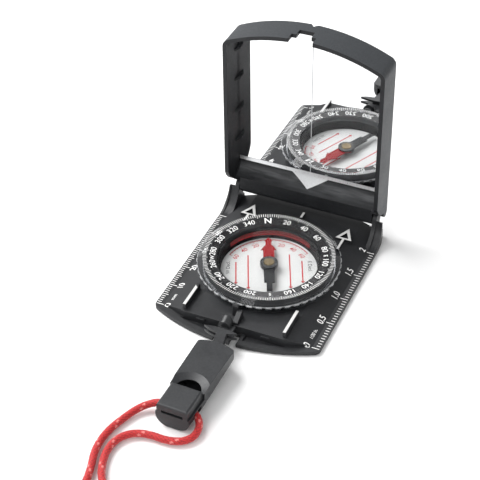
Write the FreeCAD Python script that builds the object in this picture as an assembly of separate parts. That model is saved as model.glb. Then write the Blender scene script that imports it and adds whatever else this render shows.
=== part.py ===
import FreeCAD, Part
import math
import os

# Sighting mirror compass with a whistle and a lanyard.  Millimetres.
# Origin: underside of the base, straight below the needle pivot.
# +Y points to the lid hinge, -Y to the user and the whistle, +X to the right, +Z up.

V = FreeCAD.Vector
UP = V(0, 0, 1)

# ---- base plate ----
BASE_HALF_W = 29.0          # half width over the ruler edges
BASE_FRONT = 35.2           # pivot to the middle of the bowed front edge
BASE_REAR = 36.3            # pivot to the rear edge
FRONT_BOW_R = 62.7          # radius of the bowed front edge
FLANGE_T = 1.3              # thin ruler edge
PLATEAU_T = 4.1             # height of the raised middle
PLATEAU_HALF_W = 18.5       # flat part of the raised middle
PLATEAU_FRONT = 29.9        # pivot to the straight front wall of the raised middle
LAND_R = 34.2               # round edge of the raised middle at the rear
REAR_DROP = 0.5             # step down behind that round edge
RIM_W = 2.3                 # front rim left in front of the pockets
POCKET_FLOOR = 0.6
CORNER_R = 2.2
TAPER_START = BASE_REAR - 8.8   # where the sides begin to curve in towards the rear
REAR_HALF_W = 27.4
LID_INSET = 0.95            # base edge to lid wall when the lid is shut

# ---- bezel, capsule, needle ----
BEZEL_R = 24.2              # over the gripping flutes
BEZEL_TOP = 9.8
BEZEL_LOW = 4.7
SKIRT_R = BEZEL_R - 1.3     # hidden lower skirt
GRIP_LOW = 7.2              # underside of the fluted grip
GRIP_EDGE = 8.0             # height of the grip's outer edge
SCALE_R = BEZEL_R - 2.0     # outside of the flat graduated ring
SCALE_DISH = 0.6            # how much lower its inner edge is
CAPSULE_R = BEZEL_R - 6.9
CAPSULE_WALL = 1.0
FLUTES = 48
FLUTE_R = 1.05
FLUTE_DEPTH = 0.42
COLLAR_R = BEZEL_R - 2.4    # fixed collar that the bezel turns on
COLLAR_TOP = 7.2
BEZEL_FIT = 0.08            # radial running clearance
WELL_FLOOR = 2.0
CAPSULE_LOW = 2.1
CAPSULE_FLOOR_T = 1.2
LENS_LOW = 7.5
LENS_TOP = 8.6
DIAL_T = 0.8
NEEDLE_LEN = 13.8           # pivot to either end
NEEDLE_Z = 6.1
NEEDLE_T = 0.3
HUB_R = 3.0
CAP_R = 1.85
NORTH_DEG = 24.0            # needle's red end, counter-clockwise from straight ahead

# ---- lid ----
HINGE_Y = BASE_REAR - 2.4
HINGE_Z = 8.6
LID_OPEN_DEG = 91.0         # how far open the lid stands
LID_TOP = 13.4              # closed height
LID_WALL = 1.4
LID_ROOF = 1.1
LID_RIM = 1.5               # height of the closed lid's rim
BARREL_R = 2.3
EAR_R = 2.3
EAR_HALF = 24.9             # inner faces of the two base ears
EAR_T = 1.45                # thickness of the knuckle that holds the pin
EAR_SKIN = 0.85             # outer cheek beside the closed lid's wall
EAR_TOP = 8.6               # top of that cheek
BARREL_GAP = 0.3
PIN_R = 1.0
PIN_FIT = 0.05
PIN_LEN = 7.0
MIRROR_T = 0.95
GLUE_T = 0.15
MIRROR_REAR = HINGE_Y - 10.5    # pivot to the mirror's hinge edge, lid closed
STRIP_W = 1.3
COVE_R = 5.3
LID_NOTCH_HALF = 4.2

# ---- lanyard clip, whistle, cord ----
SNAP_X = -0.8               # centre line of the clip and the front notches
NOTCH_HALF = 4.1
CLIP_CLEAR = 0.15
TAB_HALF = 5.7              # half length of the finger tabs
TAB_X = -1.6                # centre line of the finger tabs
TAB_DEEP = 2.2
WHISTLE_X = 0.95
WHISTLE_Y = -45.8           # pin that joins clip and whistle
WHISTLE_YAW = -1.5
WHISTLE_HALF_W = 6.3        # at the rounded end
WHISTLE_MOUTH_HALF_W = 5.65
WHISTLE_H = 8.0             # height at the mouthpiece
WHISTLE_END_H = 8.1         # height at the rounded end
WHISTLE_KEEL_END = 2.0      # how far the underside rises towards the rounded end
WHISTLE_REST = 19.0         # pin to where the underside leaves the ground
WHISTLE_BELLY_R = 4.0
WHISTLE_TOP_END = 3.0       # pin to the rounded end
WHISTLE_END_BOW = 1.5
WHISTLE_LEN = 31.8
MOUTH_LEN = 10.3
MOUTH_HALF_W = 5.15
EYE_Z = (4.0, 6.4)          # clip's eye
MOUTH_TOP = 8.5
LIP_Z = 5.2
CORD_D = 2.4
CORD_BORE_Z = 3.2
COIL_X = 3.5
COIL_Y = -126.8
COIL_MEAN_R = 13.0
COIL_WIDE = 4
COIL_LAYERS = 2
TIE_T = 0.55
TIE_W = 4.0

# ---- worked-out places ----
LID_HALF_W = BASE_HALF_W - LID_INSET
LID_FRONT = BASE_FRONT - LID_INSET
ROOF_LOW = LID_TOP - LID_ROOF
MIRROR_HIGH = ROOF_LOW - GLUE_T
MIRROR_LOW = MIRROR_HIGH - MIRROR_T
LENS_R = CAPSULE_R
NEEDLE_X0 = 1.2
CAPSULE_FLOOR = CAPSULE_LOW + CAPSULE_FLOOR_T
DIAL_TOP = CAPSULE_FLOOR + DIAL_T
FLANK_FOOT = LID_HALF_W - LID_WALL - 0.35


def box(x0, x1, y0, y1, z0, z1):
    return Part.makeBox(x1 - x0, y1 - y0, z1 - z0, V(x0, y0, z0))


def cyl(r, z0, z1, x=0.0, y=0.0):
    return Part.makeCylinder(r, z1 - z0, V(x, y, z0), UP)


def ring(r_out, r_in, z0, z1, x=0.0, y=0.0):
    return cyl(r_out, z0, z1, x, y).cut(cyl(r_in, z0 - 1, z1 + 1, x, y))


def rod_x(r, x0, x1, y, z):
    return Part.makeCylinder(r, x1 - x0, V(x0, y, z), V(1, 0, 0))


def prism_z(points, z0, z1):
    wire = Part.makePolygon([V(x, y, z0) for x, y in points + points[:1]])
    return Part.Face(wire).extrude(V(0, 0, z1 - z0))


def prism_x(wire, x0, x1):
    """Extrude a closed wire drawn in the plane X=0 from x0 to x1."""
    face = Part.Face(wire)
    face.translate(V(x0, 0, 0))
    return face.extrude(V(x1 - x0, 0, 0))


def prism_y(points, y0, y1):
    wire = Part.makePolygon([V(x, y0, z) for x, z in points + points[:1]])
    return Part.Face(wire).extrude(V(0, y1 - y0, 0))


def line(a, b):
    return Part.LineSegment(a, b).toShape()


def arc(a, b, c):
    return Part.Arc(a, b, c).toShape()


def revolve(points):
    """Full turn about Z of a closed (radius, z) outline."""
    wire = Part.makePolygon([V(r, 0, z) for r, z in points + points[:1]])
    return Part.Face(wire).revolve(V(0, 0, 0), UP, 360)


def mirror_x(shape):
    return shape.mirror(V(0, 0, 0), V(1, 0, 0))


def both_sides(shape):
    return shape.fuse(mirror_x(shape))


def bow_y(front, x):
    """Y of a bowed front edge whose middle is at -front."""
    return -front + FRONT_BOW_R - math.sqrt(FRONT_BOW_R ** 2 - x * x)


def bowed_plate(half_w, front, rear, z0, z1):
    """A plate with straight sides and rear and the bowed front edge."""
    corner = bow_y(front, half_w)
    left = V(-half_w, corner, z0)
    right = V(half_w, corner, z0)
    edges = [arc(left, V(0, -front, z0), right),
             line(right, V(half_w, rear, z0)),
             line(V(half_w, rear, z0), V(-half_w, rear, z0)),
             line(V(-half_w, rear, z0), left)]
    return Part.Face(Part.Wire(edges)).extrude(V(0, 0, z1 - z0))


def upright_edges(shape, x, y, tol=0.3):
    """Upright edges near (x, y)."""
    found = []
    for edge in shape.Edges:
        ends = [v.Point for v in edge.Vertexes]
        if len(ends) == 2 and ends[0].distanceToPoint(ends[1]) > 0.05:
            if all(abs(p.x - x) < tol and abs(p.y - y) < tol for p in ends):
                found.append(edge)
    return found


def base_plan(z0, z1):
    """Outline of the base: bowed front, straight rulers, sides curving in at the rear."""
    corner = bow_y(BASE_FRONT, BASE_HALF_W)
    knee = 0.5 * (BASE_REAR + TAPER_START)
    bulge = BASE_HALF_W - 0.28 * (BASE_HALF_W - REAR_HALF_W)
    edges = [arc(V(-BASE_HALF_W, corner, z0), V(0, -BASE_FRONT, z0), V(BASE_HALF_W, corner, z0)),
             line(V(BASE_HALF_W, corner, z0), V(BASE_HALF_W, TAPER_START, z0)),
             arc(V(BASE_HALF_W, TAPER_START, z0), V(bulge, knee, z0), V(REAR_HALF_W, BASE_REAR, z0)),
             line(V(REAR_HALF_W, BASE_REAR, z0), V(-REAR_HALF_W, BASE_REAR, z0)),
             arc(V(-REAR_HALF_W, BASE_REAR, z0), V(-bulge, knee, z0), V(-BASE_HALF_W, TAPER_START, z0)),
             line(V(-BASE_HALF_W, TAPER_START, z0), V(-BASE_HALF_W, corner, z0))]
    return Part.Face(Part.Wire(edges)).extrude(V(0, 0, z1 - z0))


def rounded_front(shape, half_w, front, r):
    """Round the two upright front corners of a bowed plate."""
    y = bow_y(front, half_w)
    edges = upright_edges(shape, half_w, y) + upright_edges(shape, -half_w, y)
    return shape.makeFillet(r, edges)


def clean(shape):
    """One solid, with split faces joined again."""
    shape = shape.removeSplitter()
    solids = shape.Solids
    return solids[0] if len(solids) == 1 else shape


def turn_x(shape, deg):
    """Turn about the lid hinge."""
    out = shape.copy()
    out.rotate(V(0, HINGE_Y, HINGE_Z), V(1, 0, 0), deg)
    return out


def turn_z(shape, deg):
    """Turn about the needle pivot."""
    out = shape.copy()
    out.rotate(V(0, 0, 0), V(0, 0, 1), deg)
    return out


# ------------------------------------------------------------------ base

def plateau():
    """Raised middle with sloping ruler flanks and a straight front wall."""
    outline = [(-FLANK_FOOT, 0), (FLANK_FOOT, 0), (FLANK_FOOT, FLANGE_T),
               (PLATEAU_HALF_W, PLATEAU_T), (-PLATEAU_HALF_W, PLATEAU_T),
               (-FLANK_FOOT, FLANGE_T)]
    body = prism_y(outline, -PLATEAU_FRONT, BASE_REAR)
    inside = LID_FRONT - LID_WALL - 0.5
    limit = bowed_plate(FLANK_FOOT, inside, BASE_REAR, 0, PLATEAU_T)
    body = body.common(limit)
    behind = box(-BASE_HALF_W, BASE_HALF_W, 0, BASE_REAR + 1, PLATEAU_T - REAR_DROP, PLATEAU_T + 1)
    return body.cut(behind.cut(cyl(LAND_R, 0, PLATEAU_T + 2)))


def front_pockets():
    """The two recesses between the raised middle and the front rim."""
    inner = BASE_FRONT - RIM_W
    room = bowed_plate(FLANK_FOOT, inner, 0, POCKET_FLOOR, FLANGE_T + 1)
    room = room.common(box(-FLANK_FOOT, FLANK_FOOT, -BASE_FRONT, -PLATEAU_FRONT, 0, PLATEAU_T))
    cheek = NOTCH_HALF + 1.2
    return room.cut(box(SNAP_X - cheek, SNAP_X + cheek, -BASE_FRONT, 0, 0, PLATEAU_T))


def slope_foot():
    """Where the ears' hollow front slope leaves the ruler edge."""
    return V(0, 23.8, FLANGE_T)


def knuckle_outline():
    """Side view of the knuckle: a round head about the pin on a sloping arm."""
    chin = V(0, HINGE_Y - EAR_R, HINGE_Z)
    nape = V(0, HINGE_Y + EAR_R * math.sqrt(0.5), HINGE_Z - EAR_R * math.sqrt(0.5))
    foot = slope_foot()
    return Part.Wire([line(V(0, foot.y, 0), foot),
                      arc(foot, V(0, 29.3, 4.1), chin),
                      arc(chin, V(0, HINGE_Y, HINGE_Z + EAR_R), nape),
                      line(nape, V(0, BASE_REAR - 1.2, PLATEAU_T)),
                      line(V(0, BASE_REAR - 1.2, PLATEAU_T), V(0, BASE_REAR, 3.0)),
                      line(V(0, BASE_REAR, 3.0), V(0, BASE_REAR, 0)),
                      line(V(0, BASE_REAR, 0), V(0, foot.y, 0))])


def cheek_outline(back):
    """Side view of the outer cheek; back moves its front slope rearwards."""
    foot = slope_foot() + V(0, back, 0)
    top = V(0, HINGE_Y - EAR_R + back * 0.5, EAR_TOP)
    return Part.Wire([line(V(0, foot.y, 0), foot),
                      arc(foot, V(0, 29.3 + back * 0.8, 4.1), top),
                      line(top, V(0, HINGE_Y - 1.5, EAR_TOP)),
                      arc(V(0, HINGE_Y - 1.5, EAR_TOP), V(0, 33.4, 4.6), V(0, BASE_REAR, 2.6)),
                      line(V(0, BASE_REAR, 2.6), V(0, BASE_REAR, 0)),
                      line(V(0, BASE_REAR, 0), V(0, foot.y, 0))])


def ear():
    """Right-hand ear: knuckle, outer cheek and the hollow web between them."""
    inner = BASE_HALF_W - EAR_SKIN
    knuckle = prism_x(knuckle_outline(), EAR_HALF, EAR_HALF + EAR_T)
    cheek = prism_x(cheek_outline(0), inner, BASE_HALF_W)
    web = prism_x(cheek_outline(1.0), EAR_HALF + EAR_T - 0.1, inner + 0.1)
    return knuckle.fuse(cheek).fuse(web).common(base_plan(0, LID_TOP))


def direction_arrow():
    """Raised hollow arrow and its shaft, right-hand one."""
    x = 17.7
    tip = 29.1
    tail = 23.1
    half = 2.9
    low = PLATEAU_T - 0.3
    high = PLATEAU_T + 0.9
    head = prism_z([(x, tip), (x - half, tail), (x + half, tail)], low, high)
    hole = prism_z([(x, tip - 2.3), (x - 1.55, tail + 0.75), (x + 1.55, tail + 0.75)], low, high + 1)
    start = math.sqrt((BEZEL_R + 0.4) ** 2 - (x - 0.4) ** 2)
    shaft = box(x - 0.4, x + 0.4, start, tail + 0.2, low, high)
    return head.cut(hole).fuse(shaft)


def sighting_rib():
    """Raised rib in front of the bezel, right-hand one."""
    x = 17.5
    end = -math.sqrt((BEZEL_R + 0.4) ** 2 - (x - 0.5) ** 2)
    return box(x - 0.5, x + 0.5, -29.0, end, PLATEAU_T - 0.3, PLATEAU_T + 2.17)


def base_plate():
    plate = base_plan(0, FLANGE_T)
    plate = rounded_front(plate, BASE_HALF_W, BASE_FRONT, CORNER_R)
    body = plate.fuse(plateau()).fuse(both_sides(ear()))
    body = body.fuse(ring(COLLAR_R, CAPSULE_R + BEZEL_FIT, WELL_FLOOR, COLLAR_TOP))
    body = body.cut(cyl(CAPSULE_R + BEZEL_FIT, WELL_FLOOR, COLLAR_TOP + 1))
    body = body.cut(ring(COLLAR_R + 1, COLLAR_R - 0.25, 5.75, 6.35))
    body = body.cut(front_pockets())
    notch = box(SNAP_X - NOTCH_HALF, SNAP_X + NOTCH_HALF, -BASE_FRONT - 1, -30.5, -1, PLATEAU_T + 1)
    body = body.cut(notch)
    index = box(-0.4, 0.4, 28.3, 31.3, PLATEAU_T - 0.3, PLATEAU_T + 1.1)
    body = body.fuse(index).fuse(both_sides(direction_arrow())).fuse(both_sides(sighting_rib()))
    tab = box(9.8, 12.8, -PLATEAU_FRONT - 0.45, -PLATEAU_FRONT + 0.3, 2.4, 3.0)
    body = body.fuse(both_sides(tab))
    for side in (-1, 1):
        low, high = sorted((side * (EAR_HALF - 1), side * (EAR_HALF + EAR_T - 0.2)))
        body = body.cut(rod_x(PIN_R, low, high, HINGE_Y, HINGE_Z))
    well = latch_room(0.12)
    return clean(body.cut(well))


def hinge_pin(side):
    outer = side * (EAR_HALF + EAR_T - 0.2)
    inner = outer - side * PIN_LEN
    low, high = sorted((inner, outer))
    return rod_x(PIN_R, low, high, HINGE_Y, HINGE_Z)


def retainer_ring():
    """Split wire ring that holds the bezel down on the collar."""
    wire = ring(COLLAR_R + 0.3, COLLAR_R - 0.2, 5.8, 6.3)
    return wire.cut(box(-1.5, 1.5, -BEZEL_R, 0, 5, 7))


# ------------------------------------------------------------------ bezel

def bezel_ring():
    """Clear ring: fluted skirt outside, dished graduated face inside."""
    inner = COLLAR_R + BEZEL_FIT
    profile = [(CAPSULE_R, LENS_LOW), (inner, LENS_LOW), (inner, BEZEL_LOW),
               (SKIRT_R, BEZEL_LOW), (SKIRT_R, GRIP_LOW), (BEZEL_R, GRIP_LOW + 0.2),
               (BEZEL_R, GRIP_EDGE), (SCALE_R, BEZEL_TOP), (CAPSULE_R, BEZEL_TOP - SCALE_DISH)]
    body = revolve(profile)
    body = body.cut(ring(inner + 0.45, inner - 0.2, 5.75, 6.35))
    cutters = []
    centre = BEZEL_R - FLUTE_DEPTH + FLUTE_R
    for i in range(FLUTES):
        a = 2 * math.pi * (i + 0.5) / FLUTES
        cutters.append(cyl(FLUTE_R, GRIP_LOW - 1, BEZEL_TOP, centre * math.cos(a), centre * math.sin(a)))
    return clean(body.cut(Part.makeCompound(cutters)))


def capsule_cup():
    inner = CAPSULE_R - CAPSULE_WALL
    body = cyl(CAPSULE_R, CAPSULE_LOW, LENS_LOW).cut(cyl(inner, CAPSULE_FLOOR, LENS_LOW + 1))
    body = body.cut(ring(inner + 0.75, inner + 0.25, LENS_LOW - 0.4, LENS_LOW + 1))
    fill = Part.makeCylinder(0.6, 4, V(0, -inner + 1, 5.2), V(0, -1, 0))
    return body.cut(fill)


def fill_plug():
    """Plug in the hole through which the capsule was filled."""
    inner = CAPSULE_R - CAPSULE_WALL
    plug = Part.makeCylinder(0.6, CAPSULE_WALL - 0.2, V(0, -inner - 0.05, 5.2), V(0, -1, 0))
    return plug.common(cyl(CAPSULE_R, 4, 7))


def capsule_seal():
    inner = CAPSULE_R - CAPSULE_WALL
    return ring(inner + 0.75, inner + 0.25, LENS_LOW - 0.4, LENS_LOW)


def capsule_lens():
    rim = LENS_TOP - 0.15
    profile = [(0, LENS_LOW), (LENS_R, LENS_LOW), (LENS_R, rim - 0.35), (LENS_R - 0.5, rim),
               (LENS_R - 2.5, LENS_TOP), (0, LENS_TOP)]
    return revolve(profile)


def dial_plate():
    inner = CAPSULE_R - CAPSULE_WALL
    return ring(inner - 0.1, 1.3, CAPSULE_FLOOR, DIAL_TOP)


def pivot_seat():
    body = cyl(1.3, CAPSULE_FLOOR, DIAL_TOP + 0.3)
    return body.cut(cyl(0.35, CAPSULE_FLOOR - 1, DIAL_TOP + 1))


def pivot_pin():
    shank = cyl(0.35, CAPSULE_FLOOR, NEEDLE_Z + 0.4)
    tip = Part.makeCone(0.35, 0.05, 0.35, V(0, 0, NEEDLE_Z + 0.4), UP)
    return clean(shank.fuse(tip))


# ------------------------------------------------------------------ needle

def needle_outline():
    """Half outline of the needle, +Y is the red end."""
    north = [(0, NEEDLE_LEN), (0.95, NEEDLE_LEN - 1.2), (1.15, NEEDLE_LEN - 1.9),
             (0.85, NEEDLE_LEN - 2.9), (0.95, NEEDLE_LEN - 4.0), (1.7, NEEDLE_LEN - 5.0),
             (2.65, NEEDLE_LEN - 6.7), (1.9, NEEDLE_LEN - 6.5), (1.9, 0)]
    south = [(1.75, -9.4), (0.95, -9.4), (0.95, -NEEDLE_LEN)]
    return north + south


def needle():
    half = needle_outline()
    points = half + [(-x, y) for x, y in reversed(half) if x > 0]
    body = prism_z(points, NEEDLE_Z, NEEDLE_Z + NEEDLE_T)
    body = body.fuse(cyl(HUB_R, NEEDLE_Z, NEEDLE_Z + NEEDLE_T))
    return clean(body.cut(cyl(NEEDLE_X0, 0, 10)))


def needle_magnet():
    return ring(HUB_R - 0.1, NEEDLE_X0 + 0.1, NEEDLE_Z - 0.7, NEEDLE_Z)


def needle_collar():
    return ring(HUB_R, CAP_R, NEEDLE_Z + NEEDLE_T, NEEDLE_Z + 1.0)


def needle_cap():
    spigot = cyl(NEEDLE_X0, NEEDLE_Z - 0.5, NEEDLE_Z + NEEDLE_T)
    head = cyl(CAP_R, NEEDLE_Z + NEEDLE_T, NEEDLE_Z + 1.2)
    head = head.makeChamfer(0.15, [e for e in head.Edges if abs(e.BoundBox.ZMin - NEEDLE_Z - 1.2) < 0.01])
    bore = cyl(0.55, 0, NEEDLE_Z + 0.95)
    return clean(spigot.fuse(head).cut(bore))


def needle_jewel():
    return cyl(0.55, NEEDLE_Z + 0.77, NEEDLE_Z + 0.95)


# ------------------------------------------------------------------ lid (modelled closed)

def lid_wall_outline(heel, over, behind):
    """Side view of a lid side wall; the last three points shape its hinge end."""
    foot = V(0, HINGE_Y - 9.3, LID_RIM)
    top = V(0, HINGE_Y - 6.4, LID_TOP)
    front = -BASE_FRONT - 1
    turn = [line(heel, over)] if behind is None else [arc(heel, behind, over)]
    roof = V(0, (over.y + top.y) / 2 + 0.8, (over.z + top.z) / 2 + 0.35)
    return Part.Wire([line(V(0, front, LID_RIM), foot),
                      arc(foot, V(0, 28.5, 3.9), heel)] + turn +
                     [arc(over, roof, top),
                      line(top, V(0, front, LID_TOP)),
                      line(V(0, front, LID_TOP), V(0, front, LID_RIM))])


def round_knuckle_outline():
    """Lid wall beside the knuckle: cut clear of its round head."""
    gap = EAR_R + 0.4
    heel = V(0, HINGE_Y - gap, HINGE_Z)
    turn = [math.radians(a) for a in (152, 125)]
    behind, over = [V(0, HINGE_Y + gap * math.cos(a), HINGE_Z + gap * math.sin(a)) for a in turn]
    return lid_wall_outline(heel, over, behind)


def over_cheek_outline():
    """Outermost lid wall: passes over the cheek's top."""
    heel = V(0, HINGE_Y - EAR_R - 0.4, EAR_TOP + 0.35)
    over = V(0, HINGE_Y - 0.5, EAR_TOP + 2.9)
    behind = V(0, HINGE_Y - 0.9, EAR_TOP + 0.6)
    return lid_wall_outline(heel, over, behind)


def lid_middle_outline():
    """Side view between the ears: the roof runs down into the hinge barrel."""
    low = V(0, HINGE_Y, HINGE_Z - BARREL_R)
    rear = V(0, HINGE_Y + BARREL_R, HINGE_Z)
    top = V(0, HINGE_Y - 6.4, LID_TOP)
    front = -BASE_FRONT - 1
    lip = V(0, 29.3, HINGE_Z - BARREL_R)
    return Part.Wire([line(V(0, front, LID_RIM), V(0, 28.0, LID_RIM)),
                      line(V(0, 28.0, LID_RIM), lip),
                      line(lip, low),
                      arc(low, V(0, HINGE_Y + BARREL_R * 0.7071, HINGE_Z - BARREL_R * 0.7071), rear),
                      arc(rear, V(0, 33.2, 12.0), top),
                      line(top, V(0, front, LID_TOP)),
                      line(V(0, front, LID_TOP), V(0, front, LID_RIM))])


def lid_room_outline():
    """Side view of the hollow: mirror seat, strip seat and the cove."""
    front = -BASE_FRONT - 1
    centre_y = MIRROR_REAR + 0.6
    centre_z = MIRROR_LOW - COVE_R
    strip_y = MIRROR_REAR + STRIP_W + 0.05
    start = V(0, strip_y, centre_z + math.sqrt(COVE_R ** 2 - (strip_y - centre_y) ** 2))
    mid = V(0, centre_y + COVE_R * 0.7071, centre_z + COVE_R * 0.7071)
    end = V(0, centre_y + COVE_R, centre_z)
    seat = MIRROR_LOW + 0.7
    return Part.Wire([line(V(0, front, 0), V(0, front, ROOF_LOW)),
                      line(V(0, front, ROOF_LOW), V(0, MIRROR_REAR, ROOF_LOW)),
                      line(V(0, MIRROR_REAR, ROOF_LOW), V(0, MIRROR_REAR, seat)),
                      line(V(0, MIRROR_REAR, seat), V(0, strip_y, seat)),
                      line(V(0, strip_y, seat), start),
                      arc(start, mid, end),
                      line(end, V(0, end.y, 0)),
                      line(V(0, end.y, 0), V(0, front, 0))])


def mirror_hooks():
    """Small ribs inside the side walls that hold the mirror down."""
    wall = LID_HALF_W - LID_WALL
    hooks = []
    for y in (-21.0, -9.5, 3.0, 15.0):
        outline = [(wall + 0.2, MIRROR_LOW - 0.1), (wall - 1.3, MIRROR_LOW - 0.1),
                   (wall - 1.3, MIRROR_LOW - 1.1), (wall, MIRROR_LOW - 3.6), (wall + 0.2, MIRROR_LOW - 3.6)]
        hooks.append(prism_y(outline, y - 0.4, y + 0.4))
    right = hooks[0].multiFuse(hooks[1:])
    return both_sides(right)


def lid_shell():
    outer = bowed_plate(LID_HALF_W, LID_FRONT, BASE_REAR + 4, LID_RIM, LID_TOP)
    outer = rounded_front(outer, LID_HALF_W, LID_FRONT, 3.0)
    top_edges = [e for e in outer.Edges
                 if abs(e.BoundBox.ZMin - LID_TOP) < 0.01 and abs(e.BoundBox.ZMax - LID_TOP) < 0.01
                 and e.BoundBox.YMin < BASE_REAR]
    outer = outer.makeFillet(1.3, top_edges)
    middle = outer.common(prism_x(lid_middle_outline(), -EAR_HALF + BARREL_GAP, EAR_HALF - BARREL_GAP))
    wall = LID_HALF_W - LID_WALL
    beside = prism_x(round_knuckle_outline(), EAR_HALF - BARREL_GAP, wall)
    outside = prism_x(over_cheek_outline(), wall, LID_HALF_W + 1)
    sides = outer.common(both_sides(beside.fuse(outside)))
    body = middle.fuse(sides)
    hollow_plan = bowed_plate(LID_HALF_W - LID_WALL, LID_FRONT - LID_WALL, BASE_REAR + 4, -1, ROOF_LOW)
    hollow_plan = rounded_front(hollow_plan, LID_HALF_W - LID_WALL, LID_FRONT - LID_WALL, 1.6)
    hollow = hollow_plan.common(prism_x(lid_room_outline(), -BASE_HALF_W, BASE_HALF_W))
    body = body.cut(hollow).fuse(mirror_hooks())
    notch = box(SNAP_X - LID_NOTCH_HALF, SNAP_X + LID_NOTCH_HALF, -LID_FRONT - 1, -30, 0, 4.7)
    slot = box(SNAP_X - 2.6, SNAP_X + 2.6, -LID_FRONT - 1, -30, 0, 7.7)
    sight = prism_y([(-2.0, LID_TOP + 0.1), (2.0, LID_TOP + 0.1), (0, LID_TOP - 2.3)], -LID_FRONT - 1, -31.0)
    body = body.cut(notch).cut(slot).cut(sight)
    bore = HINGE_Y, HINGE_Z
    reach = PIN_LEN - (EAR_T - 0.2) + 0.5
    for side in (-1, 1):
        low, high = sorted((side * (EAR_HALF + 1), side * (EAR_HALF - reach)))
        body = body.cut(rod_x(PIN_R + PIN_FIT, low, high, *bore))
    return clean(body)


def mirror_plate(inset, z0, z1, rear):
    plate = bowed_plate(LID_HALF_W - LID_WALL - inset, LID_FRONT - LID_WALL - inset, rear, z0, z1)
    return rounded_front(plate, LID_HALF_W - LID_WALL - inset, LID_FRONT - LID_WALL - inset, 1.4)


def mirror_strip():
    half = LID_HALF_W - LID_WALL - 0.1
    y0 = MIRROR_REAR + 0.05
    return prism_x(Part.makePolygon([V(0, y0, MIRROR_LOW), V(0, y0 + STRIP_W - 0.05, MIRROR_LOW - 0.25),
                                     V(0, y0 + STRIP_W - 0.05, MIRROR_LOW + 0.65),
                                     V(0, y0, MIRROR_LOW + 0.65), V(0, y0, MIRROR_LOW)]), -half, half)


# ------------------------------------------------------------------ catch and clip

def latch_room(gap):
    """Opening in the raised middle that the catch moves in."""
    post = box(SNAP_X - 1.1 - gap, SNAP_X + 0.9 + gap, -25.6 - gap, -24.6 + gap, 1.2, PLATEAU_T + 1)
    tongue = box(SNAP_X + 0.6 - gap, SNAP_X + 2.3 + gap, -29.4 - gap, -24.9 + gap, 1.2, PLATEAU_T + 1)
    return post.fuse(tongue)


def latch_block():
    """Catch behind the lanyard clip, pressed down to free it: a post and a sloping tongue."""
    post = prism_x(Part.makePolygon([V(0, -24.6, 2.6), V(0, -25.6, 2.6), V(0, -25.6, 7.9), V(0, -25.2, 8.6),
                                     V(0, -24.6, 8.6), V(0, -24.6, 2.6)]), SNAP_X - 1.1, SNAP_X + 0.9)
    tongue = prism_x(Part.makePolygon([V(0, -25.0, 2.6), V(0, -29.4, 2.6), V(0, -29.4, 4.8), V(0, -25.8, 6.6),
                                       V(0, -25.0, 6.6), V(0, -25.0, 2.6)]), SNAP_X + 0.6, SNAP_X + 2.3)
    return clean(post.fuse(tongue))


def latch_spring():
    """Bent leaf under the catch."""
    side = Part.makePolygon([V(0, -29.0, 1.2), V(0, -26.0, 2.4), V(0, -26.0, 2.6), V(0, -29.0, 1.4),
                             V(0, -29.0, 1.2)])
    return prism_x(side, SNAP_X + 1.0, SNAP_X + 2.05)


def lens_tab(z0, z1):
    """Finger tab with two pointed ends."""
    rear = -LID_FRONT - 0.5
    left = V(TAB_X - TAB_HALF, rear - 0.7, z0)
    right = V(TAB_X + TAB_HALF, rear - 0.7, z0)
    wire = Part.Wire([arc(left, V(TAB_X, rear, z0), right), arc(right, V(TAB_X, rear - TAB_DEEP, z0), left)])
    return Part.Face(wire).extrude(V(0, 0, z1 - z0))


def snap_clip():
    """Clip on the front edge: sloping nose, two finger tabs and the eye for the whistle pin."""
    nose = Part.makeCylinder(2.1, 4.4, V(SNAP_X - 1.1, -29.0, 5.3), V(0, -1, -0.3))
    keep = box(-9, 9, -32.3, -20.0, PLATEAU_T + CLIP_CLEAR, 12)
    keep = keep.fuse(box(-9, 9, -32.3, -30.5 - CLIP_CLEAR, 1.6, 12))
    nose = nose.common(keep).cut(box(SNAP_X + 0.6 - 2 * CLIP_CLEAR, 9, -29.6 - CLIP_CLEAR, -20, 0, 9))
    stem = box(SNAP_X - 2.3, SNAP_X + 2.3, -36.6, -30.5 - CLIP_CLEAR, 1.6, 4.4)
    neck_half = 1.7
    neck = prism_z([(SNAP_X - neck_half, -36.0), (SNAP_X + neck_half, -36.0),
                    (WHISTLE_X + neck_half, WHISTLE_Y), (WHISTLE_X - neck_half, WHISTLE_Y)], *EYE_Z)
    eye = cyl(2.4, *EYE_Z, WHISTLE_X, WHISTLE_Y)
    body = stem.fuse(nose).fuse(neck).fuse(eye)
    body = body.fuse(lens_tab(5.6, 6.4)).fuse(lens_tab(3.7, 4.5))
    post = box(SNAP_X - 1.6, SNAP_X + 1.6, -36.6, -LID_FRONT - 0.9, 3.0, 6.3)
    body = body.fuse(post)
    return clean(body.cut(cyl(0.85, 0, 12, WHISTLE_X, WHISTLE_Y)))


# ------------------------------------------------------------------ whistle (drawn along -Y from its pin)

def place_whistle(shape):
    out = shape.copy()
    out.rotate(V(0, 0, 0), UP, WHISTLE_YAW)
    out.translate(V(WHISTLE_X, WHISTLE_Y, 0))
    return out


def whistle_section(y, half, keel, top):
    """Cross-section: flat top, upright sides and a rounded belly."""
    r = WHISTLE_BELLY_R
    d = r * (1 - math.sqrt(0.5))
    left = [V(-half, y, top), V(-half, y, keel + r), V(-half + d, y, keel + d), V(-half + r, y, keel)]
    right = [V(-p.x, y, p.z) for p in reversed(left)]
    return Part.Wire([line(left[0], left[1]), arc(left[1], left[2], left[3]), line(left[3], right[0]),
                      arc(right[0], right[1], right[2]), line(right[2], right[3]), line(right[3], left[0])])


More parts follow.
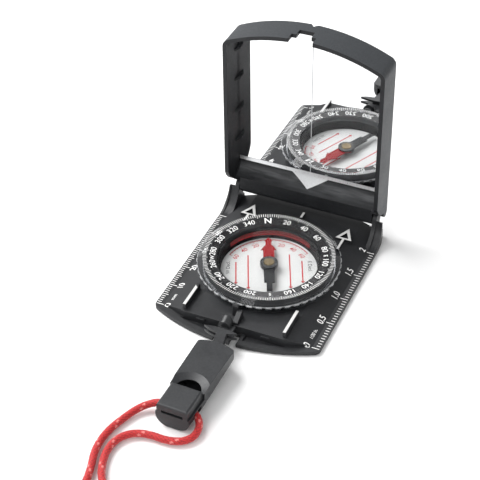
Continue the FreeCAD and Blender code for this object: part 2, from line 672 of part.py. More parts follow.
def whistle_block():
    """Outer form: bowed end, slightly tapered, with a belly that rises to the bowed end."""
    end = WHISTLE_TOP_END
    mouth = end - WHISTLE_LEN
    share = (end + WHISTLE_REST) / WHISTLE_LEN
    rest_half = WHISTLE_HALF_W + (WHISTLE_MOUTH_HALF_W - WHISTLE_HALF_W) * share
    rest_top = WHISTLE_END_H + (WHISTLE_H - WHISTLE_END_H) * share
    sections = [whistle_section(mouth, WHISTLE_MOUTH_HALF_W, 0, WHISTLE_H),
                whistle_section(-WHISTLE_REST, rest_half, 0, rest_top),
                whistle_section(end, WHISTLE_HALF_W, WHISTLE_KEEL_END, WHISTLE_END_H)]
    body = Part.makeLoft(sections, True, True)
    w = WHISTLE_HALF_W + 1
    side = end - WHISTLE_END_BOW * (w / WHISTLE_HALF_W) ** 2
    plan = Part.Wire([arc(V(w, side, -1), V(0, end, -1), V(-w, side, -1)), line(V(-w, side, -1), V(-w, mouth, -1)),
                      line(V(-w, mouth, -1), V(w, mouth, -1)), line(V(w, mouth, -1), V(w, side, -1))])
    body = body.common(Part.Face(plan).extrude(V(0, 0, WHISTLE_END_H + 3)))
    corners = [e for e in body.Edges if e.BoundBox.YMin > side - 0.5 and e.BoundBox.ZLength > 1
               and e.BoundBox.XLength < 0.2]
    return body.makeFillet(0.9, corners)


def whistle_body():
    """Whistle with its chamber, window, cord hole and the slot for the clip's eye."""
    body = whistle_block()
    mouth = WHISTLE_TOP_END - WHISTLE_LEN
    step = mouth + MOUTH_LEN
    w = WHISTLE_HALF_W
    body = body.cut(box(-9, 9, mouth - 1, step, LIP_Z, WHISTLE_H + 2))
    slot_low, slot_high = EYE_Z[0] - 0.3, EYE_Z[1] + 0.3
    body = body.cut(box(-4.4, 4.4, -3.2, WHISTLE_TOP_END + 1, slot_low, slot_high))
    body = body.cut(box(-w + 1.6, w - 1.6, step - 0.4, -5.0, 2.9, 6.7))
    window = cyl(4.3, 4, WHISTLE_H + 1, 0, step).common(box(-9, 9, step, 0, 4, 12))
    bevel = Part.makeCone(4.3, 7.6, 1.5, V(0, step - 0.6, WHISTLE_H - 1.25), UP)
    bevel = bevel.common(box(-9, 9, step, 0, 4, 12))
    body = body.cut(window).cut(bevel)
    body = body.cut(box(-9, 9, -25.3, -20.7, CORD_BORE_Z - 1.5, CORD_BORE_Z + 1.5))
    body = body.cut(box(-3.6, 3.6, step - 1.5, step + 0.5, LIP_Z - 0.01, 6.3))
    return place_whistle(clean(body.cut(cyl(0.8, 2.4, 7.6))))


def whistle_mouthpiece():
    """Raised block over the air channel."""
    mouth = WHISTLE_TOP_END - WHISTLE_LEN
    step = mouth + MOUTH_LEN
    body = box(-MOUTH_HALF_W, MOUTH_HALF_W, mouth, step, LIP_Z, MOUTH_TOP)
    edges = [e for e in body.Edges if e.BoundBox.ZMin > MOUTH_TOP - 0.01]
    body = body.makeFillet(0.6, edges)
    return place_whistle(body.cut(box(-3.6, 3.6, mouth - 1, step + 1, LIP_Z - 1, LIP_Z + 1.1)))


def whistle_pin():
    return cyl(0.8, 2.4, 7.6, WHISTLE_X, WHISTLE_Y)


# ------------------------------------------------------------------ lanyard cord

LEFT_ROUTE = [(0.35, -68.45, 3.2), (-3.4, -68.45, 3.2), (-7.2, -68.75, 2.9), (-10.7, -70.4, 1.9),
              (-13.2, -73.7, 1.35), (-15.0, -78.2, 1.2), (-16.5, -83.2, 1.25), (-17.0, -88.4, 1.2),
              (-16.3, -93.6, 1.25), (-14.5, -98.6, 1.2), (-12.8, -103.6, 1.25), (-10.9, -108.4, 1.5),
              (-8.27, -112.78, 2.2)]
RIGHT_ROUTE = [(0.35, -68.45, 3.2), (3.5, -68.45, 3.2), (6.5, -69.7, 2.9), (8.3, -72.4, 2.2),
               (8.4, -75.7, 1.4), (6.6, -78.6, 1.2), (3.6, -80.2, 1.25), (0.2, -80.7, 1.2),
               (-3.8, -80.5, 1.25), (-7.9, -81.2, 1.2), (-11.2, -83.5, 1.25), (-13.1, -87.1, 1.2),
               (-13.3, -91.5, 1.25), (-12.1, -96.3, 1.2), (-9.9, -101.1, 1.3), (-6.7, -105.4, 1.6),
               (-2.83, -109.42, 2.2)]


def arc_points(a, b, c):
    """Tangent arc at b: where it starts, its middle, where it ends, and its radius."""
    back = (a - b)
    ahead = (c - b)
    run = min(back.Length, ahead.Length) * 0.45
    back.normalize()
    ahead.normalize()
    half_turn = (math.pi - back.getAngle(ahead)) / 2
    radius = run / math.tan(half_turn)
    bisector = back + ahead
    bisector.normalize()
    centre = b + bisector * (radius / math.cos(half_turn))
    middle = centre - bisector * radius
    return b + back * run, middle, b + ahead * run, radius


def cord_tube(name, route):
    """Round cord along straight runs joined by tangent arcs."""
    points = [V(*p) for p in route]
    edges = []
    last = points[0]
    radii = []
    for a, b, c in zip(points, points[1:], points[2:]):
        start, middle, end, radius = arc_points(a, b, c)
        edges.append(line(last, start))
        edges.append(arc(start, middle, end))
        radii.append(radius)
        last = end
    edges.append(line(last, points[-1]))
    path = Part.Wire(edges)
    section = Part.Wire(Part.Circle(points[0], points[1] - points[0], CORD_D / 2).toShape())
    tube = path.makePipeShell([section], True, False)
    print(name, "radii", [round(r, 1) for r in radii])
    print(name, "length", round(path.Length, 1), "volume ratio",
          round(tube.Volume / (path.Length * math.pi * CORD_D ** 2 / 4), 4))
    return tube


def coil_size():
    """Inner and outer radius and height of the coil's bundle."""
    half = COIL_WIDE * CORD_D * 1.04 / 2
    return COIL_MEAN_R - half, COIL_MEAN_R + half, COIL_LAYERS * CORD_D * 1.03


def lanyard_coil():
    """Outer form of the coiled part of the lanyard."""
    r_in, r_out, height = coil_size()
    body = ring(r_out, r_in, TIE_T, TIE_T + height, COIL_X, COIL_Y)
    return body.makeFillet(CORD_D * 0.42, [e for e in body.Edges if e.BoundBox.ZLength < 0.01])


def lanyard_tie():
    """Band round the bundle."""
    r_in, r_out, height = coil_size()
    outer = ring(r_out + TIE_T, r_in - TIE_T, 0, height + 2 * TIE_T, COIL_X, COIL_Y)
    outer = outer.makeFillet(CORD_D * 0.42, [e for e in outer.Edges if e.BoundBox.ZLength < 0.01])
    band = outer.cut(lanyard_coil())
    return band.common(box(COIL_X - TIE_W / 2, COIL_X + TIE_W / 2, COIL_Y - 40, COIL_Y, 0, 20))


def main():
    os.makedirs("parts", exist_ok=True)
    lid = {"lid_shell": lid_shell(),
           "mirror": mirror_plate(0.15, MIRROR_LOW, MIRROR_HIGH, MIRROR_REAR - 0.05),
           "mirror_adhesive": mirror_plate(1.0, MIRROR_HIGH, ROOF_LOW, MIRROR_REAR - 1.0),
           "mirror_strip": mirror_strip()}
    swung = {"needle": needle(), "needle_magnet": needle_magnet(), "needle_collar": needle_collar(),
             "needle_cap": needle_cap(), "needle_jewel": needle_jewel()}
    nodes = {name: turn_x(shape, -LID_OPEN_DEG) for name, shape in lid.items()}
    nodes.update({name: turn_z(shape, NORTH_DEG) for name, shape in swung.items()})
    nodes.update({
        "base_plate": base_plate(), "hinge_pin_left": hinge_pin(-1), "hinge_pin_right": hinge_pin(1),
        "bezel_retainer": retainer_ring(), "bezel_ring": bezel_ring(), "capsule_cup": capsule_cup(),
        "fill_plug": fill_plug(), "capsule_seal": capsule_seal(), "capsule_lens": capsule_lens(),
        "dial_plate": dial_plate(), "pivot_seat": pivot_seat(), "pivot_pin": pivot_pin(),
        "latch_block": latch_block(), "latch_spring": latch_spring(), "snap_clip": snap_clip(),
        "whistle_body": whistle_body(), "whistle_mouthpiece": whistle_mouthpiece(),
        "whistle_pin": whistle_pin(),
        "lanyard_left": cord_tube("lanyard_left", LEFT_ROUTE),
        "lanyard_right": cord_tube("lanyard_right", RIGHT_ROUTE),
        "lanyard_coil": lanyard_coil(), "lanyard_tie": lanyard_tie()})
    for name, shape in nodes.items():
        solids = shape.Solids
        print(name, "solids", len(solids), "valid", shape.isValid(), "volume", round(shape.Volume, 1))
        shape.exportStep("parts/" + name + ".step")


main()
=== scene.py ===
import math

import bpy
from mathutils import Matrix, Vector
from mathutils.bvhtree import BVHTree


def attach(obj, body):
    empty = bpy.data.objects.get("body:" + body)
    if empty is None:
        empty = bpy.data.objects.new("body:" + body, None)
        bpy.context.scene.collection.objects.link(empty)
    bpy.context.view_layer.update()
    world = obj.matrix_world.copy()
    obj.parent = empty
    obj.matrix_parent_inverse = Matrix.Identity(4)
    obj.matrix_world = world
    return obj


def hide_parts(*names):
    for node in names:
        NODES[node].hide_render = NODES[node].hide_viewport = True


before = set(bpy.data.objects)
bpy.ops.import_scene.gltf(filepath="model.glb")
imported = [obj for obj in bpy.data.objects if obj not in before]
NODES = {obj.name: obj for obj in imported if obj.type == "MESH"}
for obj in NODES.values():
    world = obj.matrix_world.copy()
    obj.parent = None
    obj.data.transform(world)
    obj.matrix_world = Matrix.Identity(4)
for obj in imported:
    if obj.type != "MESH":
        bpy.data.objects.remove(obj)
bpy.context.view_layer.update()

MM = 0.001
NORTH = math.radians(24.0)      # north of bezel and needle, counter-clockwise from +Y
HINGE = (33.9, 8.6)             # y and z of the lid's hinge line, mm
LID_OPEN = math.radians(-91.0)
INK = 0.03                      # how far printed marks stand off their surface, mm


def add_object(name, data):
    item = bpy.data.objects.new(name, data)
    bpy.context.scene.collection.objects.link(item)
    return item


# ------------------------------------------------------------------ camera
CAMERA_PLACE = (147.208, -342.155, 323.796)     # mm
CAMERA_TURN = (24.74, 39.5, -1.31)              # azimuth, height and roll, degrees
CAMERA_LENS = 110.0175
SENSOR = 36.0


def make_camera():
    az, el, roll = (math.radians(angle) for angle in CAMERA_TURN)
    back = Vector((math.sin(az) * math.cos(el), -math.cos(az) * math.cos(el), math.sin(el)))
    right = Vector((math.cos(az), math.sin(az), 0))
    up = back.cross(right)
    across = right * math.cos(roll) + up * math.sin(roll)
    upward = up * math.cos(roll) - right * math.sin(roll)
    data = bpy.data.cameras.new("camera")
    data.lens, data.sensor_width = CAMERA_LENS, SENSOR
    data.clip_start, data.clip_end = 0.01, 20.0
    cam = add_object("camera", data)
    turn = Matrix((across, upward, back)).transposed().to_4x4()
    cam.matrix_world = Matrix.Translation(Vector(CAMERA_PLACE) * MM) @ turn
    bpy.context.scene.camera = cam


make_camera()


# ------------------------------------------------------------------ node materials
class Graph:
    """A material's node tree, with short calls for the nodes used here."""

    def __init__(self, name):
        self.mat = bpy.data.materials.new(name)
        self.mat.use_nodes = True
        self.tree = self.mat.node_tree
        self.tree.nodes.clear()
        self.out = self.tree.nodes.new("ShaderNodeOutputMaterial")
        self.shader = self.tree.nodes.new("ShaderNodeBsdfPrincipled")
        self.link(self.shader.outputs[0], self.out.inputs["Surface"])
        self.place = self.tree.nodes.new("ShaderNodeTexCoord").outputs["Object"]

    def link(self, a, b):
        self.tree.links.new(a, b)

    def set(self, **values):
        for name, value in values.items():
            self.shader.inputs[name.replace("_", " ")].default_value = value
        return self

    def feed(self, node, index, value):
        if isinstance(value, bpy.types.NodeSocket):
            self.link(value, node.inputs[index])
        else:
            node.inputs[index].default_value = value

    def math(self, operation, a, b=0.0):
        node = self.tree.nodes.new("ShaderNodeMath")
        node.operation = operation
        self.feed(node, 0, a)
        self.feed(node, 1, b)
        return node.outputs[0]

    def above(self, value, limit):
        return self.math("GREATER_THAN", value, limit)

    def below(self, value, limit):
        return self.math("LESS_THAN", value, limit)

    def all_of(self, first, *others):
        """A mask that holds where every one of the given masks holds."""
        for other in others:
            first = self.math("MULTIPLY", first, other)
        return first

    def stretch(self, vector, scale):
        node = self.tree.nodes.new("ShaderNodeMapping")
        self.link(vector, node.inputs["Vector"])
        node.inputs["Scale"].default_value = scale
        return node.outputs[0]

    def noise(self, scale, detail=2.0, vector=None):
        node = self.tree.nodes.new("ShaderNodeTexNoise")
        self.link(vector or self.place, node.inputs["Vector"])
        node.inputs["Scale"].default_value = scale
        node.inputs["Detail"].default_value = detail
        return node.outputs[0]

    def cells(self, scale):
        node = self.tree.nodes.new("ShaderNodeTexVoronoi")
        self.link(self.place, node.inputs["Vector"])
        node.inputs["Scale"].default_value = scale
        return node.outputs["Distance"]

    def ramp(self, value, low, high, to_low, to_high):
        node = self.tree.nodes.new("ShaderNodeMapRange")
        self.link(value, node.inputs["Value"])
        for name, number in zip(("From Min", "From Max", "To Min", "To Max"), (low, high, to_low, to_high)):
            node.inputs[name].default_value = number
        return node.outputs[0]

    def blend(self, factor, a, b):
        node = self.tree.nodes.new("ShaderNodeMix")
        node.data_type = "RGBA"
        self.feed(node, 0, factor)
        for index, value in ((6, a), (7, b)):
            linked = isinstance(value, bpy.types.NodeSocket)
            self.feed(node, index, value if linked else (*value, 1.0))
        return node.outputs[2]

    def xyz(self):
        node = self.tree.nodes.new("ShaderNodeSeparateXYZ")
        self.link(self.place, node.inputs[0])
        return node.outputs[0], node.outputs[1], node.outputs[2]

    def radius(self, x, y):
        """Horizontal distance from the needle's pivot."""
        square = self.math("ADD", self.math("MULTIPLY", x, x), self.math("MULTIPLY", y, y))
        return self.math("SQRT", square)

    def outer_side(self):
        """A mask for the outer side of a surface."""
        return self.math("SUBTRACT", 1.0, self.tree.nodes.new("ShaderNodeNewGeometry").outputs["Backfacing"])

    def mix_shaders(self, factor, first, second):
        mix = self.tree.nodes.new("ShaderNodeMixShader")
        self.link(factor, mix.inputs[0])
        self.link(first, mix.inputs[1])
        self.link(second, mix.inputs[2])
        self.link(mix.outputs[0], self.out.inputs["Surface"])
        return mix.outputs[0]

    def see_through(self, tint):
        node = self.tree.nodes.new("ShaderNodeBsdfTransparent")
        node.inputs[0].default_value = (*tint, 1.0)
        return node.outputs[0]

    def bump(self, height, depth, strength=1.0, edge=0.0):
        node = self.tree.nodes.new("ShaderNodeBump")
        node.inputs["Strength"].default_value = strength
        node.inputs["Distance"].default_value = depth
        self.link(height, node.inputs["Height"])
        if edge:
            round_off = self.tree.nodes.new("ShaderNodeBevel")
            round_off.samples = 6
            round_off.inputs["Radius"].default_value = edge
            self.link(round_off.outputs[0], node.inputs["Normal"])
        self.link(node.outputs[0], self.shader.inputs["Normal"])
        return self

    def colour(self, value):
        self.link(value, self.shader.inputs["Base Color"])
        return self

    def rough(self, value):
        self.link(value, self.shader.inputs["Roughness"])
        return self


def moulded(name, dark, light, rough_low, rough_high, grain=0.000025, grain_scale=5200.0, edge=0.00018):
    """Moulded plastic: fine spark-eroded grain, faint flow marks, rounded edges."""
    g = Graph(name).set(Specular_IOR_Level=0.4)
    grain_noise = g.noise(grain_scale, 3.0)
    flow = g.noise(90.0, 4.0)
    mottle = g.math("MULTIPLY", g.math("ADD", flow, g.noise(1400.0, 2.0)), 0.5)
    g.colour(g.blend(g.ramp(mottle, 0.35, 0.65, 0.0, 1.0), dark, light))
    g.rough(g.ramp(mottle, 0.35, 0.65, rough_low, rough_high))
    g.bump(grain_noise, grain, 0.6, edge)
    return g


ACRYLIC_IOR = 1.49
SHADOW_TINT = (0.92, 0.92, 0.92)


def clear(name, tint, shine_scale):
    """Clear moulded piece with faint polish haze, which lets lamp light through."""
    g = Graph(name).set(Transmission_Weight=1.0, IOR=ACRYLIC_IOR)
    haze = g.noise(shine_scale, 3.0)
    g.rough(g.ramp(haze, 0.3, 0.7, 0.0, 0.035))
    g.colour(g.blend(g.ramp(haze, 0.3, 0.7, 0.0, 1.0), tint, (1.0, 1.0, 1.0)))
    shadow = g.tree.nodes.new("ShaderNodeLightPath").outputs["Is Shadow Ray"]
    g.mix_shaders(shadow, g.shader.outputs[0], g.see_through(SHADOW_TINT))
    return g


def thin_clear(name, tint, shine_scale, share):
    """Clear acrylic seen through without a bend: Fresnel shine over a transparent body."""
    g = Graph(name)
    haze = g.noise(shine_scale, 3.0)
    fresnel = g.tree.nodes.new("ShaderNodeFresnel")
    fresnel.inputs[0].default_value = 1.4
    shine = g.tree.nodes.new("ShaderNodeBsdfGlossy")
    shine.inputs["Color"].default_value = (0.9, 0.9, 0.9, 1.0)
    g.link(g.ramp(haze, 0.3, 0.7, 0.02, 0.07), shine.inputs["Roughness"])
    mirrored = g.math("MULTIPLY", g.math("MULTIPLY", fresnel.outputs[0], g.outer_side()), share)
    surface = g.mix_shaders(mirrored, g.see_through(tint), shine.outputs[0])
    g.tree.nodes.remove(g.shader)
    return g, surface


def bezel_material():
    """The graduated ring is looked straight through; the fluted grip bends the light; a painted highlight, a
    pale diffuse band, runs round the grip's upper outer edge.
    """
    grip_radius, grip_low, grip_high = 0.0234, 0.00725, 0.0081
    # radius and heights of the painted highlight band on the grip's upper outer edge
    highlight_radius, highlight_low, highlight_high = 0.0236, 0.00775, 0.0083
    g, thin = thin_clear("bezel_acrylic", (0.93, 0.935, 0.94), 260.0, 0.9)
    x, y, z = g.xyz()
    radius = g.radius(x, y)
    outer = g.outer_side()
    glass = g.tree.nodes.new("ShaderNodeBsdfPrincipled")
    glass.inputs["Transmission Weight"].default_value = 1.0
    glass.inputs["IOR"].default_value = ACRYLIC_IOR
    frost = g.noise(900.0, 3.0)
    g.link(g.ramp(frost, 0.3, 0.7, 0.02, 0.10), glass.inputs["Roughness"])
    g.link(g.blend(frost, (0.70, 0.71, 0.72), (0.86, 0.87, 0.88)), glass.inputs["Base Color"])
    grip = g.all_of(g.above(radius, grip_radius), g.below(z, grip_high), g.above(z, grip_low), outer)
    ring = g.mix_shaders(grip, thin, glass.outputs[0])
    # painted highlight: a pale grey diffuse band on the upper outer edge of the grip, standing in for light
    # caught by the scallops
    painted_highlight = g.tree.nodes.new("ShaderNodeBsdfDiffuse")
    painted_highlight.inputs["Color"].default_value = (0.62, 0.63, 0.64, 1.0)
    edge = g.all_of(g.above(radius, highlight_radius), g.below(z, highlight_high), g.above(z, highlight_low), outer)
    g.mix_shaders(g.all_of(edge, g.ramp(frost, 0.3, 0.7, 0.25, 0.6)), ring, painted_highlight.outputs[0])
    return g.mat


def metal(name, dark, light, rough_low, rough_high, brush=(1.0, 1.0, 8.0), scale=1500.0):
    g = Graph(name).set(Metallic=1.0)
    lines = g.noise(scale, 3.0, g.stretch(g.place, brush))
    g.colour(g.blend(lines, dark, light))
    g.rough(g.ramp(lines, 0.3, 0.7, rough_low, rough_high))
    g.bump(lines, 0.000006, 0.5)
    return g


def paint(name, dark, light):
    """Screen-printed ink with a slightly uneven film."""
    g = Graph(name)
    film = g.noise(2600.0, 3.0)
    g.colour(g.blend(g.ramp(film, 0.3, 0.7, 0.0, 1.0), dark, light))
    g.rough(g.ramp(film, 0.3, 0.7, 0.42, 0.6))
    g.bump(film, 0.000008, 0.5)
    return g


def base_material():
    """Black base whose raised marks have white tops."""
    g = moulded("base_black", (0.0115, 0.012, 0.0135), (0.019, 0.020, 0.022), 0.40, 0.52)
    body = g.shader.inputs["Base Color"].links[0].from_socket
    x, y, z = g.xyz()
    wide = g.math("ABSOLUTE", x)
    radius = g.radius(x, y)
    parts = g.tree.nodes.new("ShaderNodeSeparateXYZ")
    g.link(g.tree.nodes.new("ShaderNodeNewGeometry").outputs["True Normal"], parts.inputs[0])
    up = g.above(parts.outputs[2], 0.7)
    raised_z, ruler_edge, bezel_edge = 0.0049, 0.0212, 0.0244
    marks = g.all_of(g.above(z, raised_z), g.below(wide, ruler_edge), g.above(radius, bezel_edge))
    arrow_x, arrow_edge = -0.006, 0.0262        # the left arrow's paint starts further out
    beside = g.all_of(g.below(x, arrow_x), g.below(radius, arrow_edge))
    marks = g.all_of(marks, g.math("SUBTRACT", 1.0, beside))
    index_z, index_half, index_start, index_end = 0.0070, 0.00045, 0.0201, 0.0220
    index = g.all_of(g.above(z, index_z), g.below(wide, index_half), g.above(y, index_start))
    index = g.all_of(index, g.below(y, index_end))
    white = g.all_of(g.math("MAXIMUM", marks, index), up)
    g.colour(g.blend(white, body, (0.60, 0.60, 0.59)))
    return g.mat


def needle_material():
    """Red north half and black south half."""
    g = Graph("needle_paint").set(Specular_IOR_Level=0.15)
    x, y, _ = g.xyz()
    along = g.math("ADD", g.math("MULTIPLY", x, -math.sin(NORTH)), g.math("MULTIPLY", y, math.cos(NORTH)))
    film = g.noise(1800.0, 3.0)
    red = g.blend(film, (0.20, 0.003, 0.005), (0.28, 0.005, 0.008))
    black = g.blend(film, (0.008, 0.008, 0.009), (0.018, 0.018, 0.020))
    red_start = 0.0006
    g.colour(g.blend(g.above(along, red_start), black, red))
    g.rough(g.ramp(film, 0.3, 0.7, 0.28, 0.42))
    g.bump(film, 0.000008, 0.5)
    return g.mat


def mirror_material():
    g = Graph("mirror_silver").set(Metallic=1.0)
    smear = g.noise(140.0, 4.0, g.stretch(g.place, (1.0, 1.0, 0.35)))
    g.colour(g.blend(smear, (0.86, 0.87, 0.88), (0.93, 0.93, 0.94)))
    g.rough(g.ramp(smear, 0.35, 0.75, 0.0, 0.018))
    return g.mat


def lid_material():
    """Lid: satin grey outside, black inside, a painted highlight band across the cove below the mirror."""
    g = moulded("lid_black", (0.0115, 0.012, 0.0135), (0.019, 0.020, 0.022), 0.42, 0.56)
    g.set(Specular_IOR_Level=0.25)
    body = g.shader.inputs["Base Color"].links[0].from_socket
    facing = g.tree.nodes.new("ShaderNodeSeparateXYZ")
    coords = g.tree.nodes.new("ShaderNodeTexCoord")
    g.link(coords.outputs["Normal"], facing.inputs[0])
    nx, ny, nz = facing.outputs
    x, y, z = g.xyz()
    wide = g.math("ABSOLUTE", x)
    rim_z, wall_x, back_y = 0.060, 0.0270, 0.0372
    top = g.all_of(g.above(nz, 0.3), g.above(z, rim_z))
    flank = g.all_of(g.above(g.math("MULTIPLY", nx, g.math("SIGN", x)), 0.35), g.above(wide, wall_x))
    back = g.all_of(g.above(ny, 0.35), g.above(y, back_y))
    outside = g.math("MAXIMUM", g.math("MAXIMUM", top, flank), back)
    speck = g.noise(3000.0, 3.0)
    satin = g.blend(g.ramp(speck, 0.3, 0.7, 0.0, 1.0), (0.036, 0.039, 0.043), (0.056, 0.060, 0.065))
    shade = g.blend(outside, body, satin)
    # painted highlight: a lighter streaky band across the cove, strongest at its middle height, standing in
    # for light the cove catches
    highlight_streak = g.noise(650.0, 4.0, g.stretch(g.place, (0.16, 1.0, 1.0)))
    cove_low, cove_high, cove_x, highlight_centre_z = 0.0128, 0.0176, 0.0262, 0.0152
    cove = g.all_of(g.above(z, cove_low), g.below(z, cove_high), g.below(wide, cove_x), g.below(ny, 0.0))
    cove = g.all_of(cove, g.ramp(highlight_streak, 0.38, 0.66, 0.25, 1.0))
    middle = g.ramp(g.math("ABSOLUTE", g.math("SUBTRACT", z, highlight_centre_z)), 0.0004, 0.0024, 1.0, 0.0)
    g.colour(g.blend(g.all_of(cove, middle), shade, (0.085, 0.088, 0.092)))
    return g.mat


def cord_material():
    """Braided polyester: yarns with fine lengthwise filaments, light tracer yarns, painted shade in the gaps
    between yarns.
    """
    g = Graph("cord_braid").set(Sheen_Weight=0.35, Sheen_Roughness=0.4)
    attribute = g.tree.nodes.new("ShaderNodeAttribute")
    attribute.attribute_name = "yarn"
    parts = g.tree.nodes.new("ShaderNodeSeparateColor")
    g.link(attribute.outputs["Color"], parts.inputs[0])
    fibre = g.noise(5200.0, 3.0)
    red = g.blend(g.ramp(fibre, 0.3, 0.7, 0.0, 1.0), (0.46, 0.010, 0.012), (0.66, 0.030, 0.030))
    # painted shade: the red darkens towards the low gaps between yarns, by the relief stored in the yarn
    # attribute
    red_with_painted_gap_shade = g.blend(parts.outputs[0], (0.16, 0.004, 0.006), red)
    pale = g.blend(g.ramp(fibre, 0.3, 0.7, 0.0, 1.0), (0.66, 0.14, 0.13), (0.76, 0.28, 0.26))
    g.colour(g.blend(parts.outputs[1], red_with_painted_gap_shade, pale))
    g.rough(g.ramp(fibre, 0.3, 0.7, 0.55, 0.8))
    g.bump(fibre, 0.00005, 0.5)
    return g.mat


def tie_material():
    g = Graph("tie_weave").set(Sheen_Weight=0.2)
    loops = g.cells(3400.0)
    g.colour(g.blend(g.ramp(loops, 0.1, 0.6, 0.0, 1.0), (0.020, 0.020, 0.022), (0.007, 0.007, 0.008)))
    g.rough(g.ramp(loops, 0.1, 0.6, 0.7, 0.95))
    g.bump(loops, 0.00012, 0.8)
    return g.mat


black = base_material()
shell = lid_material()
gloss_black = moulded("whistle_black", (0.017, 0.018, 0.020), (0.027, 0.0285, 0.031), 0.36, 0.48,
                      0.000015).mat
tab_black = moulded("clip_black", (0.013, 0.0135, 0.015), (0.026, 0.027, 0.029), 0.30, 0.45, 0.00002).mat
bezel_clear = bezel_material()
lens_clear = thin_clear("lens_acrylic", (0.985, 0.99, 0.99), 180.0, 0.22)[0].mat
steel = metal("steel", (0.45, 0.45, 0.46), (0.68, 0.68, 0.69), 0.22, 0.4).mat
brass = metal("brass", (0.10, 0.075, 0.040), (0.20, 0.15, 0.085), 0.25, 0.42, (1, 1, 1), 2600.0).mat
magnet = metal("magnet_steel", (0.11, 0.11, 0.12), (0.22, 0.22, 0.23), 0.35, 0.5).mat
silver = metal("mirror_edge", (0.62, 0.63, 0.64), (0.78, 0.79, 0.80), 0.25, 0.4, (6, 1, 1), 900.0).mat
white_plate = moulded("dial_white", (0.58, 0.575, 0.57), (0.64, 0.635, 0.63), 0.35, 0.5,
                      0.000006, 2600.0, 0.0).mat
ink_white = paint("ink_white", (0.80, 0.80, 0.79), (0.92, 0.92, 0.91)).mat
ink_red = paint("ink_red", (0.42, 0.016, 0.024), (0.54, 0.030, 0.036)).mat
wall_red = paint("wall_red", (0.30, 0.008, 0.010), (0.42, 0.012, 0.014)).mat
ink_black = paint("ink_black", (0.010, 0.010, 0.011), (0.024, 0.024, 0.026)).mat
ground_black = moulded("scale_ground_black", (0.008, 0.008, 0.009), (0.014, 0.014, 0.015), 0.18, 0.3,
                       0.000006).mat
ink_grey = paint("ink_grey", (0.62, 0.63, 0.64), (0.72, 0.73, 0.74)).mat
line_grey = paint("line_grey", (0.40, 0.41, 0.42), (0.50, 0.51, 0.52)).mat
rubber = moulded("seal_rubber", (0.010, 0.010, 0.010), (0.018, 0.018, 0.018), 0.7, 0.85).mat
jewel = clear("jewel", (0.80, 0.86, 0.95), 900.0).mat
glue = moulded("adhesive", (0.62, 0.61, 0.57), (0.70, 0.69, 0.65), 0.5, 0.7, 0.00002, 1800.0, 0.0).mat
needle_paint = needle_material()
mirror_glass = mirror_material()

FINISH = {
    "base_plate": black, "hinge_pin_left": steel, "hinge_pin_right": steel, "bezel_retainer": steel,
    "latch_spring": steel, "bezel_ring": bezel_clear, "capsule_cup": lens_clear, "capsule_lens": lens_clear,
    "capsule_seal": rubber, "fill_plug": rubber, "dial_plate": white_plate, "pivot_seat": brass,
    "pivot_pin": steel, "needle": needle_paint, "needle_magnet": magnet, "needle_collar": tab_black,
    "needle_cap": brass, "needle_jewel": jewel, "lid_shell": shell, "mirror": mirror_glass,
    "mirror_adhesive": glue, "mirror_strip": silver, "latch_block": tab_black, "snap_clip": tab_black,
    "whistle_body": gloss_black, "whistle_mouthpiece": gloss_black, "whistle_pin": steel,
    "lanyard_tie": tie_material()}
for name, material in FINISH.items():
    piece = NODES[name]
    piece.data.materials.clear()
    piece.data.materials.append(material)


# ------------------------------------------------------------------ printed marks
class Print:
    """Flat ink shapes gathered in millimetres and laid on a surface by a mapping."""

    def __init__(self):
        self.verts = []
        self.faces = []

    def add(self, points, faces):
        start = len(self.verts)
        self.verts += points
        self.faces += [[start + i for i in face] for face in faces]

    def bar(self, a, b, width, place, steps=3):
        """A straight stroke from a to b in the flat drawing."""
        a, b = Vector(a), Vector(b)
        side = Vector((a.y - b.y, b.x - a.x)).normalized() * width / 2
        points = []
        for i in range(steps + 1):
            middle = a.lerp(b, i / steps)
            points += [place(*(middle + side)), place(*(middle - side))]
        self.add(points, [[2 * i, 2 * i + 1, 2 * i + 3, 2 * i + 2] for i in range(steps)])

    def text(self, body, size, place, weight=0.0):
        """Lettering drawn about its own middle in the flat drawing."""
        data = bpy.data.curves.new("lettering", "FONT")
        data.body, data.size, data.offset = body, size, weight
        data.align_x, data.align_y = "CENTER", "CENTER"
        data.resolution_u, data.fill_mode = 5, "FRONT"
        item = add_object("lettering", data)
        bpy.context.view_layer.update()
        mesh = bpy.data.meshes.new_from_object(item)
        self.add([place(v.co.x, v.co.y) for v in mesh.vertices], [list(p.vertices) for p in mesh.polygons])
        bpy.data.objects.remove(item)
        bpy.data.meshes.remove(mesh)
        bpy.data.curves.remove(data)

    def make(self, name, material, body):
        mesh = bpy.data.meshes.new(name)
        mesh.from_pydata([Vector(v) * MM for v in self.verts], [], self.faces)
        mesh.update()
        mesh.materials.append(material)
        item = add_object(name, mesh)
        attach(item, body)


def surface_tree(node):
    mesh = NODES[node].data
    return BVHTree.FromPolygons([v.co for v in mesh.vertices], [list(p.vertices) for p in mesh.polygons])


def lift_onto(node):
    """A mapping from (x, y) to a point just over the upper surface of a node."""
    tree = surface_tree(node)
    overhead = 60

    def place(x, y):
        hit = tree.ray_cast(Vector((x, y, overhead)) * MM, Vector((0, 0, -1)))[0]
        return (x, y, (hit.z / MM if hit else 0.0) + INK)
    return place


SCALE_INNER_R = 17.3
SCALE_INNER_Z = 9.2
SCALE_WIDTH = 4.9
SCALE_DISH = 0.6                # how far the graduated face rises from its inner to its outer edge
GROUND_DROP = 0.018             # the black ground lies this far under the ink


def scale_height(r):
    return SCALE_INNER_Z + (r - SCALE_INNER_R) * SCALE_DISH / SCALE_WIDTH + INK


def around(degrees, radius):
    """A mapping for lettering that stands on a ring, at a bearing from north."""
    middle = math.radians(90 - degrees) + NORTH

    def place(u, v):
        angle = middle - u / radius
        r = radius + v
        return (r * math.cos(angle), r * math.sin(angle), scale_height(r))
    return place


